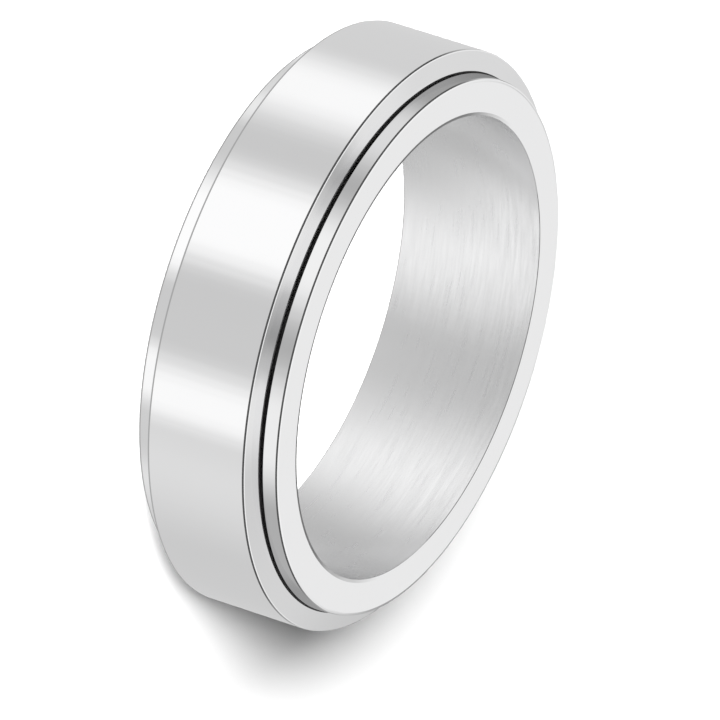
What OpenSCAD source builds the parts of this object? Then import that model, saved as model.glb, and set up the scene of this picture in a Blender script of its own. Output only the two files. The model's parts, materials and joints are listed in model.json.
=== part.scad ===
// Spinner ring: a flat outer band that turns freely in the channel of a flared inner ring.
// It lies on its side: +Z runs along the finger, and the lower rim's face is at Z = 0.

/* [Finger hole] */
// Inside diameter of the ring, where the finger goes
bore_d = 18.1; // [15:0.1:22]

/* [Base ring] */
// Width of the whole ring along the finger
ring_w = 6; // [5:0.1:10]
// Thickness of the wall that carries the spinner band
wall_t = 0.8; // [0.6:0.05:1.2]
// How far each rim stands out from that wall, at the rim's back edge
rim_h = 0.67; // [0.4:0.01:0.8]
// Width of the outer wall of each rim along the finger
rim_w = 0.6; // [0.4:0.02:1]
// How much the radius of that wall shrinks towards the rim's end face
rim_taper = 0.04; // [0:0.01:0.1]
// How far the flared back of each rim slopes in along the finger
flare_w = 0.32; // [0.1:0.01:0.5]

/* [Spinner band] */
// Thickness of the band on the radius, from its bore to its outer face
band_t = 1.39; // [1.2:0.01:1.8]
// How far the band's side starts out beyond the rim's back edge, on the radius
lip_step = 0.05; // [0.02:0.01:0.15]
// How far each side of the band slopes back towards its outer face, along the finger
bevel_w = 0.19; // [0.05:0.01:0.5]

/* [Fits] */
// Clearance on the radius between the band's bore and the wall it turns on
run_gap = 0.12; // [0.05:0.01:0.2]
// Clearance along the finger between each rim's back edge and the band's side
side_gap = 0.14; // [0.05:0.01:0.2]

/* [Edges] */
// Size of the fine bevel that breaks each sharp edge
edge_break = 0.06; // [0.02:0.01:0.1]

/* [Hidden] */
$fn = 180;

// Radii, from the finger outwards
bore_r = bore_d / 2;
channel_r = bore_r + wall_t;
rim_r = channel_r + rim_h;
rim_end_r = rim_r - rim_taper;
band_bore_r = channel_r + run_gap;
lip_r = rim_r + lip_step;
band_r = band_bore_r + band_t;

// Half widths along the finger, from the ring's middle outwards
ring_half = ring_w / 2;
rim_back_half = ring_half - rim_w;
channel_half = rim_back_half - flare_w;
lip_half = rim_back_half - side_gap;
face_half = lip_half - bevel_w;

// The band's inner bevel runs at the same slope as the rim's flared back.
flare_slope = flare_w / rim_h;
band_bore_half = lip_half - flare_slope * (lip_r - band_bore_r);

// The fine bevels start on the sloped walls that they break, so their corners follow the slopes.
rim_break_r = rim_end_r + edge_break * rim_taper / rim_w;
band_break_half = face_half + edge_break * bevel_w / (band_r - lip_r);

// Turns half a profile, given as [radius, half width] points, into the whole ring.
module lathe(half_profile) {
    other_half = [
        for (i = [len(half_profile) - 1 : -1 : 0])
            [half_profile[i][0], -half_profile[i][1]]
    ];
    translate([0, 0, ring_half])
        rotate_extrude()
            polygon(concat(half_profile, other_half));
}

// The inner ring: a bore, a flat face at each end, and a rim at each side of the channel.
module base_ring() {
    color([0.80, 0.80, 0.81])
        lathe([
            [channel_r, channel_half],
            [rim_r, rim_back_half],
            [rim_break_r, ring_half - edge_break],
            [rim_end_r - edge_break, ring_half],
            [bore_r + edge_break, ring_half],
            [bore_r, ring_half - edge_break]
        ]);
}

// The outer band: a flat polished face, bevelled sides, and a bore that runs on the wall.
module spinner_band() {
    color([0.88, 0.88, 0.89])
        lathe([
            [band_bore_r, band_bore_half],
            [lip_r, lip_half],
            [band_r - edge_break, band_break_half],
            [band_r, face_half - edge_break]
        ]);
}

base_ring();
spinner_band();
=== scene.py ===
import json
import math

import bmesh
import bpy
from mathutils import Matrix, Vector


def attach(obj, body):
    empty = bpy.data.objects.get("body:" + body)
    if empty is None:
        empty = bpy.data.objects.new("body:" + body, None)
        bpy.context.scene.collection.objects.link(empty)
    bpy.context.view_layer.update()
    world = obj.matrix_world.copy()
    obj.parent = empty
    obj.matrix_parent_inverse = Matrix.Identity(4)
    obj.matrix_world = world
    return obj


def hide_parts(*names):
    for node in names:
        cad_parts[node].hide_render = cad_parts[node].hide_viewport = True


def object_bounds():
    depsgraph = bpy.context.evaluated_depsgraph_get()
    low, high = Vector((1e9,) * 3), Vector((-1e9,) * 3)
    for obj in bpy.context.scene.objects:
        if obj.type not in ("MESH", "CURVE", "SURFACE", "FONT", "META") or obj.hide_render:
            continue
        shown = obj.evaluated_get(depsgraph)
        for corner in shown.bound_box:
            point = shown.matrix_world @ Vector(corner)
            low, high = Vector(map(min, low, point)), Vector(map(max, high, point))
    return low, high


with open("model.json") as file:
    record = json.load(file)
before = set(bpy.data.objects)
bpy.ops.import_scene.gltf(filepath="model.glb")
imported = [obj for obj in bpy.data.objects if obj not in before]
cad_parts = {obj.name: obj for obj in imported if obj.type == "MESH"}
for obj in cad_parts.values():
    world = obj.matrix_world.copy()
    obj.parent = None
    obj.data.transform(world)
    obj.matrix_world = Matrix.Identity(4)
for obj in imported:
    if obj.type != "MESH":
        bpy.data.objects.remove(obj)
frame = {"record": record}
cad_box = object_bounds()
bpy.ops.object.select_all(action="DESELECT")

# Inner ring: one piece of stainless steel, turned on a lathe. The finger goes through its bore, and
# the channel between its two flared rims carries the outer band. It is modelled in millimetres, as a
# tube whose open end is drawn on round the section, and brought down to metres when it is whole.
millimetre = 0.001
facets_round = 720
smooth_angle = math.radians(3)
finger_hole = next(mount for mount in frame["record"]["mounts"] if mount["name"] == "finger_hole")
bore_radius = finger_hole["dims"]["r_mm"]
ring_width = (cad_box[1].z - cad_box[0].z) / millimetre
wall_thickness = 0.8
rim_height = 0.67
rim_width = 0.6
rim_taper = 0.04
flare_width = 0.32
channel_radius = bore_radius + wall_thickness
rim_radius = channel_radius + rim_height

# Places that are nearer to each other than a hair count as one.
hair = 0.0005

# Fine facets break the edges. Each has a length and a slope that is measured from the wall, and they
# are listed from the wall to the face.
steep, shallow = math.radians(17.5), math.radians(68)
rim_facets = [(0.07, steep), (0.06, shallow), (0.05, math.radians(85))]
band_facets = [(0.075, steep), (0.04, shallow)]
bore_facets = [(0.025, steep), (0.12, math.radians(82))]


def broken_edge(radius, height, facets, way):
    """The corners of a broken edge, from the wall at radius to the face at height.
    way is 1 where the wall lies outside the face and -1 where it lies inside, as in a bore."""
    height -= sum(length * math.cos(slope) for length, slope in facets)
    corners = [(radius, height)]
    for length, slope in facets:
        radius -= way * length * math.sin(slope)
        height += length * math.cos(slope)
        corners.append((radius, height))
    return corners


def turn_down(corners):
    """The same corners on the ring's other side, in the order in which the section meets them."""
    return [(radius, ring_width - height) for radius, height in reversed(corners)]


def pick_open_end(height):
    """Selects the tube's open end that lies at this height."""
    bpy.ops.mesh.select_all(action="DESELECT")
    mesh = bmesh.from_edit_mesh(bpy.context.object.data)
    for vert in mesh.verts:
        vert.select = abs(vert.co.z - height) < hair
    mesh.select_flush(True)
    bmesh.update_edit_mesh(bpy.context.object.data)


def turn_section(name, section):
    """Makes a ring from a section of (radius, height) corners, which starts and ends with a bore."""
    radius, height = section[0]
    bottom_height = section[-1][1]
    bpy.ops.mesh.primitive_cylinder_add(
        vertices=facets_round,
        radius=radius,
        depth=height - bottom_height,
        end_fill_type="NOTHING",
        location=(0, 0, (height + bottom_height) / 2),
    )
    ring = bpy.context.object
    ring.name = name
    ring.data.name = name
    bpy.ops.object.transform_apply(location=True, rotation=False, scale=False)
    bpy.ops.object.mode_set(mode="EDIT")
    bpy.ops.mesh.select_mode(type="VERT")
    pick_open_end(height)
    for next_radius, next_height in section[1:]:
        grow = next_radius / radius
        bpy.ops.mesh.extrude_edges_move()
        bpy.ops.transform.resize(value=(grow, grow, 1), center_override=(0, 0, 0))
        bpy.ops.transform.translate(value=(0, 0, next_height - height))
        radius, height = next_radius, next_height
    bpy.ops.mesh.select_all(action="SELECT")
    bpy.ops.mesh.remove_doubles(threshold=hair)
    bpy.ops.mesh.normals_make_consistent(inside=False)
    bpy.ops.transform.resize(value=(millimetre,) * 3, center_override=(0, 0, 0))
    bpy.ops.object.mode_set(mode="OBJECT")
    bpy.ops.object.shade_smooth_by_angle(angle=smooth_angle)
    return ring


bore_edge = broken_edge(bore_radius, ring_width, bore_facets, -1)
rim_edge = broken_edge(rim_radius - rim_taper, ring_width, rim_facets, 1)
rim_back = [
    (rim_radius, ring_width - rim_width),
    (channel_radius, ring_width - rim_width - flare_width),
]
upper_half = bore_edge + rim_edge[::-1] + rim_back
inner_ring = turn_section("inner_ring", upper_half + turn_down(upper_half))


def steel(name, grey):
    """A stainless steel of one grey with a trace of blue, and its shader."""
    blue = grey * 1.004
    material = bpy.data.materials.new(name)
    material.use_nodes = True
    shader = material.node_tree.nodes["Principled BSDF"]
    shader.inputs["Base Color"].default_value = (grey, grey, blue, 1)
    shader.inputs["Metallic"].default_value = 1.0
    return material, shader


def noise_along(material, stretch, detail, low, high):
    """A noise on the metal's own place, with a scale a metre each way, mostly from low to high."""
    nodes, links = material.node_tree.nodes, material.node_tree.links
    place = nodes.new("ShaderNodeTexCoord")
    mapping = nodes.new("ShaderNodeMapping")
    noise = nodes.new("ShaderNodeTexNoise")
    spread = nodes.new("ShaderNodeMapRange")
    mapping.inputs["Scale"].default_value = stretch
    noise.inputs["Scale"].default_value = 1.0
    noise.inputs["Detail"].default_value = detail
    spread.clamp = False
    spread.inputs["From Min"].default_value = 0.3
    spread.inputs["From Max"].default_value = 0.7
    spread.inputs["To Min"].default_value = low
    spread.inputs["To Max"].default_value = high
    links.new(place.outputs["Object"], mapping.inputs["Vector"])
    links.new(mapping.outputs["Vector"], noise.inputs["Vector"])
    links.new(noise.outputs["Fac"], spread.inputs["Value"])
    return spread.outputs["Result"]


# The rims and end faces are mirror-polished.
polished_steel, polished_shader = steel("polished_steel", 0.90)
polish = noise_along(polished_steel, (900, 900, 900), 3.0, 0.05, 0.09)
polished_steel.node_tree.links.new(polish, polished_shader.inputs["Roughness"])

# The bore is brushed round and round, so its fine lines run along the circumference.
brush_stretch = (600, 600, 9000)
brushed_steel, brushed_shader = steel("brushed_steel", 0.80)
brushed_shader.inputs["Anisotropic"].default_value = 0.75
brushed_shader.inputs["Anisotropic Rotation"].default_value = 0.25
brushed_links = brushed_steel.node_tree.links
tangent = brushed_steel.node_tree.nodes.new("ShaderNodeTangent")
tangent.direction_type = "RADIAL"
tangent.axis = "Z"
brushed_links.new(tangent.outputs["Tangent"], brushed_shader.inputs["Tangent"])
lines = noise_along(brushed_steel, brush_stretch, 3.0, 0.0, 1.0)
line_height = brushed_steel.node_tree.nodes.new("ShaderNodeBump")
line_height.inputs["Strength"].default_value = 0.04
line_height.inputs["Distance"].default_value = 0.002 * millimetre
brushed_links.new(lines, line_height.inputs["Height"])
brushed_links.new(line_height.outputs["Normal"], brushed_shader.inputs["Normal"])
line_roughness = noise_along(brushed_steel, brush_stretch, 3.0, 0.20, 0.28)
brushed_links.new(line_roughness, brushed_shader.inputs["Roughness"])

# The channel keeps the rough finish that the lathe tool left, and its steel is painted dark: painted
# shade for the deep gap between rim and band.
turned_steel_painted_dark, turned_shader_painted_dark = steel("turned_steel_painted_dark", 0.42)
tool_marks = noise_along(turned_steel_painted_dark, (200, 200, 9000), 2.0, 0.40, 0.60)
turned_steel_painted_dark.node_tree.links.new(tool_marks, turned_shader_painted_dark.inputs["Roughness"])


def finish_faces(ring, material, is_finished):
    """Gives a finish to the ring's faces that the test picks by radius and height, in millimetres."""
    ring.data.materials.append(material)
    slot = len(ring.data.materials) - 1
    for face in ring.data.polygons:
        radius = Vector(face.center[:2]).length / millimetre
        if is_finished(radius, face.center.z / millimetre):
            face.material_index = slot


def in_bore(radius, height):
    return radius < bore_radius + hair


def in_channel(radius, height):
    return bore_radius + hair < radius < rim_radius and rim_width < height < ring_width - rim_width


finish_faces(inner_ring, polished_steel, lambda radius, height: True)
finish_faces(inner_ring, brushed_steel, in_bore)
# The channel's faces take the dark steel, which is painted shade in the gap under the band.
finish_faces(inner_ring, turned_steel_painted_dark, in_channel)
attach(inner_ring, "inner_ring")
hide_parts("base_ring")

# Outer band: one piece of mirror-polished stainless steel. It is trapped between the rims and turns
# on the channel's wall, and each of its sides slopes back from a lip beside the rim to the flat face.
bpy.ops.object.select_all(action="DESELECT")
band_thickness = 1.39
running_clearance = 0.12
side_clearance = 0.14
lip_step = 0.05
side_slope = 0.19
band_bore_radius = channel_radius + running_clearance
band_radius = band_bore_radius + band_thickness
lip_radius = rim_radius + lip_step
lip_height = ring_width - rim_width - side_clearance
flare_slope = flare_width / rim_height
band_bore_height = lip_height - flare_slope * (lip_radius - band_bore_radius)
face_height = lip_height - side_slope

band_edge = broken_edge(band_radius, face_height, band_facets, 1)
edge_in = band_radius - band_edge[-1][0]
edge_rise = side_slope * edge_in / (band_radius - lip_radius)
band_edge = [(radius, height + edge_rise) for radius, height in reversed(band_edge)]
upper_half = [(band_bore_radius, band_bore_height), (lip_radius, lip_height)] + band_edge
outer_band = turn_section("outer_band", upper_half + turn_down(upper_half))


def in_running_fit(radius, height):
    return radius < lip_radius


finish_faces(outer_band, polished_steel, lambda radius, height: True)
# The band's faces in the running fit take the dark steel too, which is painted shade in the gap
# beside the rims.
finish_faces(outer_band, turned_steel_painted_dark, in_running_fit)
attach(outer_band, "outer_band")
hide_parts("spinner_band")

# Camera: a long lens, 25 degrees above the ring's face. It is rolled so that the ring, which lies on
# its side, stands in the picture as it does in the photo.
picture_side = 720
hole_across, hole_down = 420.4, 348.1
hole_radius_px = 241.6
camera_rise = math.radians(25.1)
camera_roll = math.radians(107.83)
camera_distance = 0.5
sensor = 36.0
pixel = bore_radius * millimetre / hole_radius_px

camera_back = Vector((0, -math.cos(camera_rise), math.sin(camera_rise)))
upright = camera_back.to_track_quat("Z", "Y").to_matrix()
turn = upright @ Matrix.Rotation(camera_roll, 3, "Z")
hole_centre = Vector((0, 0, ring_width * millimetre))
picture_centre = hole_centre - turn @ Vector(
    ((hole_across - picture_side / 2) * pixel, (picture_side / 2 - hole_down) * pixel, 0)
)
bpy.ops.object.camera_add(location=picture_centre + camera_back * camera_distance)
camera = bpy.context.object
camera.rotation_euler = turn.to_euler()
camera.data.sensor_width = sensor
camera.data.lens = camera_distance * sensor / (pixel * picture_side)
camera.data.clip_start = camera_distance / 100
camera.data.clip_end = camera_distance * 20
bpy.context.scene.camera = camera

# Floor: a plain pale sheet. Reflections see the studio through it, as they would on a clear table.
floor_side = 8
bpy.ops.mesh.primitive_plane_add(size=floor_side)
floor = bpy.context.object
floor.name = "floor"
floor_paint = bpy.data.materials.new("floor_paint")
floor_paint.use_nodes = True
floor_shader = floor_paint.node_tree.nodes["Principled BSDF"]
floor_shader.inputs["Base Color"].default_value = (0.88, 0.88, 0.88, 1)
floor_shader.inputs["Roughness"].default_value = 0.9
floor_shader.inputs["Specular IOR Level"].default_value = 0.0
floor.data.materials.append(floor_paint)
floor.visible_glossy = False


def light_ramp(nodes, stops, clock):
    """Light that goes softly from stop to stop, each a clock angle in degrees and a brightness."""
    node = nodes.new("ShaderNodeValToRGB")
    node.color_ramp.interpolation = "EASE"
    elements = node.color_ramp.elements
    elements.remove(elements[-1])
    for angle, brightness in stops:
        element = elements.new(angle / 360)
        element.color = (brightness, brightness, brightness, 1)
    elements.remove(elements[0])
    nodes.id_data.links.new(clock, node.inputs["Fac"])
    return node.outputs["Color"]


def blend_light(nodes, share, first, second):
    """Light that goes from first to second as share goes from 0 to 1."""
    node = nodes.new("ShaderNodeMix")
    node.data_type = "FLOAT"
    nodes.id_data.links.new(share, node.inputs["Factor"])
    nodes.id_data.links.new(first, node.inputs["A"])
    nodes.id_data.links.new(second, node.inputs["B"])
    return node.outputs["Result"]


def share_between(nodes, value, start, stop):
    """How far a value has gone from start to stop, from 0 to 1."""
    node = nodes.new("ShaderNodeMapRange")
    node.inputs["From Min"].default_value = start
    node.inputs["From Max"].default_value = stop
    nodes.id_data.links.new(value, node.inputs["Value"])
    return node.outputs["Result"]


# Card for the bore: a glowing tube under the clear table, which only the bore mirrors. It is bright
# on two sides, and these give the brushed bore its two bright bands. The bore's near half sees the
# tube's top and its far half sees the tube lower down, so the two have their own light.
tube_depth = 2 * ring_width
under_floor = 0.05
foot_light_end, top_light_start = 1.05, 5.55
tube_top = [
    (0, 1.30), (84, 0.73), (114, 0.70), (174, 1.32), (200, 1.36), (260, 0.60), (274, 0.58),
    (350, 1.27), (360, 1.30),
]
tube_foot = [
    (0, 1.14), (72, 0.67), (92, 0.67), (148, 1.14), (160, 1.14), (230, 0.63), (288, 0.60),
    (360, 1.14),
]
tube_again = [(0, 0.98), (90, 1.1), (180, 1.03), (240, 0.76), (300, 0.70), (360, 0.98)]
bpy.ops.mesh.primitive_cylinder_add(
    vertices=96,
    radius=(bore_radius + wall_thickness / 2) * millimetre,
    depth=tube_depth * millimetre,
    end_fill_type="NOTHING",
    location=(0, 0, -(tube_depth / 2 + under_floor) * millimetre),
)
bore_card = bpy.context.object
bore_card.name = "bore_card"
bore_card.visible_camera = False
bore_card.visible_diffuse = False
card_paint = bpy.data.materials.new("card_paint")
card_paint.use_nodes = True
card_nodes, card_links = card_paint.node_tree.nodes, card_paint.node_tree.links
card_nodes.remove(card_nodes["Principled BSDF"])
card_place = card_nodes.new("ShaderNodeTexCoord")
card_clock = card_nodes.new("ShaderNodeTexGradient")
card_clock.gradient_type = "RADIAL"
card_glow = card_nodes.new("ShaderNodeEmission")
card_links.new(card_place.outputs["Object"], card_clock.inputs["Vector"])
card_height = card_nodes.new("ShaderNodeSeparateXYZ")
card_links.new(card_place.outputs["Object"], card_height.inputs["Vector"])
near_top = share_between(
    card_nodes, card_height.outputs["Z"], foot_light_end * millimetre, top_light_start * millimetre
)
top_light = light_ramp(card_nodes, tube_top, card_clock.outputs["Color"])
foot_light = light_ramp(card_nodes, tube_foot, card_clock.outputs["Color"])
tube_light = blend_light(card_nodes, near_top, foot_light, top_light)

# Where the bore mirrors itself, the second reflection sees a plainer tube.
past_one, short_of_two = 1.4, 1.6
card_path = card_nodes.new("ShaderNodeLightPath")
card_again = share_between(card_nodes, card_path.outputs["Ray Depth"], past_one, short_of_two)
again_light = light_ramp(card_nodes, tube_again, card_clock.outputs["Color"])
tube_light = blend_light(card_nodes, card_again, tube_light, again_light)
card_links.new(tube_light, card_glow.inputs["Strength"])
card_links.new(card_glow.outputs["Emission"], card_nodes["Material Output"].inputs["Surface"])
bore_card.data.materials.append(card_paint)

# Studio: the world shows it by the way that a surface must face to mirror each part of it to the
# camera, which is halfway between that part and the camera.
world = bpy.data.worlds.new("studio")
bpy.context.scene.world = world
world.use_nodes = True
world.cycles_visibility.diffuse = False
world.cycles.sampling_method = "NONE"
studio = world.node_tree.nodes
wires = world.node_tree.links
background = studio["Background"]
background.inputs["Color"].default_value = (1, 1, 1, 1)
direction = studio.new("ShaderNodeTexCoord")
halfway = studio.new("ShaderNodeVectorMath")
halfway.operation = "ADD"
halfway.inputs[1].default_value = camera_back
facing = studio.new("ShaderNodeVectorMath")
facing.operation = "NORMALIZE"
tilt = studio.new("ShaderNodeSeparateXYZ")
clock = studio.new("ShaderNodeTexGradient")
clock.gradient_type = "RADIAL"
wires.new(direction.outputs["Generated"], halfway.inputs[0])
wires.new(halfway.outputs["Vector"], facing.inputs[0])
wires.new(facing.outputs["Vector"], tilt.inputs["Vector"])
wires.new(facing.outputs["Vector"], clock.inputs["Vector"])


def card_row(gaps, boxes=()):
    """One row of cards. The grey gaps are (clock angle, brightness), and each soft box is (the clock
    angle where it is at its full brightness, the one where it fades, brightness)."""
    stops = list(gaps)
    for full, fade, brightness in boxes:
        stops += [(full, brightness), (fade, brightness)]
    return light_ramp(studio, sorted(stops), clock.outputs["Color"])


# Three soft boxes stand side by side at the picture's left. Clock angles are in degrees from the
# picture's top.
wall_gaps = [
    (0, 0.69), (31, 0.70), (60, 0.64), (63, 0.64), (91, 0.64), (103, 0.65), (121, 0.76),
    (128, 0.79), (150, 0.65), (330, 0.64), (360, 0.69),
]
far_gaps = [
    (0, 0.73), (22, 0.74), (30, 0.88), (36, 0.71), (44, 0.77), (57, 0.65), (63, 0.65), (94, 0.65),
    (103, 0.66), (121, 0.68), (128, 0.67), (137, 0.83), (151, 0.68), (180, 0.66), (330, 0.66),
    (360, 0.73),
]
rim_gaps = [
    (0, 0.27), (30, 0.38), (62, 0.46), (98, 0.46), (136, 0.46), (154, 0.46), (164, 0.36),
    (180, 0.36), (360, 0.27),
]
side_gaps = [
    (0, 0.76), (28, 0.77), (61, 0.44), (66, 0.60), (90, 0.50), (97, 0.35), (103, 0.55),
    (128, 0.67), (166, 0.72), (200, 0.62), (230, 0.05), (310, 0.05), (340, 0.74), (360, 0.76),
]
dark_gaps = [(0, 0.80), (8, 0.60), (24, 0.09), (155, 0.09), (170, 0.35), (180, 0.60), (360, 0.80)]
overhead_gaps = [
    (0, 0.88), (35, 1.0), (145, 1.0), (165, 0.88), (200, 0.42), (260, 0.42), (290, 0.88),
]
bore_edge_gaps = [
    (0, 0.60), (20, 0.90), (168, 0.90), (184, 0.45), (200, 0.16), (335, 0.16), (350, 0.45),
    (360, 0.60),
]
walls_row = card_row(wall_gaps, [(43.5, 47.5, 1.05), (73, 82.5, 1.08), (112, 115, 1.06)])
far_rim_row = card_row(far_gaps, [(49, 51, 0.91), (75, 87, 1.09), (109, 115, 1.05)])
rim_row = card_row(rim_gaps, [(43.5, 49.5, 0.78), (75.5, 83, 0.97), (112, 121.5, 0.93)])
sides_row = card_row(side_gaps, [(41.5, 49, 0.84), (73, 83.5, 0.87), (109, 115, 0.86)])
under_row = card_row([(0, 0.42), (180, 0.42), (270, 0.30), (360, 0.42)])
plain_row = card_row([(0, 0.62), (360, 0.62)])
dark_strip = card_row(dark_gaps)
overhead_row = card_row(overhead_gaps)
bore_edge_row = card_row(bore_edge_gaps)
rim_edge_row = card_row([(0, 0.90), (180, 0.90), (200, 0.35), (260, 0.35), (290, 0.90), (360, 0.90)])
face_row = card_row([(0, 0.90), (360, 0.90)])

# Each row takes over at its own tilt, from -1 for straight down, past 0 for a wall, to 1 for the end
# face. The dark strip is narrow, and draws the fine dark line at the outer edge of rim and band.
light = under_row
for row, row_start, blur in [
    (far_rim_row, -0.16, 0.04),
    (walls_row, -0.04, 0.002),
    (rim_row, 0.04, 0.002),
    (plain_row, 0.14, 0.02),
    (dark_strip, 0.265, 0.01),
    (plain_row, 0.335, 0.01),
    (overhead_row, 0.60, 0.05),
    (sides_row, 0.95, 0.002),
    (bore_edge_row, 0.981, 0.002),
    (rim_edge_row, 0.9935, 0.0005),
    (face_row, 0.9985, 0.0005),
]:
    share = share_between(studio, tilt.outputs["Z"], row_start - blur, row_start + blur)
    light = blend_light(studio, share, light, row)

# Where the rim and the band mirror each other, the second reflection sees a plainer studio. A world
# counts a ray's depth one higher than a surface does.
low_way, high_way = 0.38, 0.46
sides_gain = 1.08
way_up = studio.new("ShaderNodeSeparateXYZ")
wires.new(direction.outputs["Generated"], way_up.inputs["Vector"])
high_up = share_between(studio, way_up.outputs["Z"], low_way, high_way)
again = studio.new("ShaderNodeMath")
again.operation = "MULTIPLY"
again.inputs[1].default_value = sides_gain
wires.new(sides_row, again.inputs[0])
second_light = blend_light(studio, high_up, rim_row, again.outputs["Value"])
path = studio.new("ShaderNodeLightPath")
is_second = share_between(studio, path.outputs["Ray Depth"], past_one + 1, short_of_two + 1)
light = blend_light(studio, is_second, light, second_light)
white = studio.new("ShaderNodeValue")
white.outputs["Value"].default_value = 1.0
light = blend_light(studio, path.outputs["Is Camera Ray"], light, white.outputs["Value"])
wires.new(light, background.inputs["Strength"])

# Three soft suns light the floor alone. The key stands nearly behind the camera and the wider side
# sun to the ring's left, so they lay one soft shadow together. The weak fill comes from overhead.
for name, azimuth, rise, spread, strength in [
    ("key_sun", 260, 23, 22, 8.6),
    ("side_sun", 220, 26, 45, 4.0),
    ("fill_sun", 0, 90, 100, 0.15),
]:
    to_sun = Vector(
        (
            math.cos(math.radians(azimuth)) * math.cos(math.radians(rise)),
            math.sin(math.radians(azimuth)) * math.cos(math.radians(rise)),
            math.sin(math.radians(rise)),
        )
    )
    bpy.ops.object.light_add(type="SUN", location=to_sun)
    sun = bpy.context.object
    sun.name = name
    sun.rotation_euler = to_sun.to_track_quat("Z", "Y").to_euler()
    sun.data.angle = math.radians(spread)
    sun.data.energy = strength
    sun.visible_glossy = False

# A spot with a narrow beam shines straight down through the finger hole, so the floor is white there.
spot_height = 0.3
beam_radius = (bore_radius + wall_thickness) * millimetre
bpy.ops.object.light_add(type="SPOT", location=(0, 0, spot_height))
spot = bpy.context.object
spot.name = "hole_spot"
spot.data.spot_size = 2 * math.atan(beam_radius / spot_height)
spot.data.spot_blend = 0.05
spot.data.energy = 3
spot.visible_glossy = False

bpy.context.scene.view_settings.view_transform = "Standard"
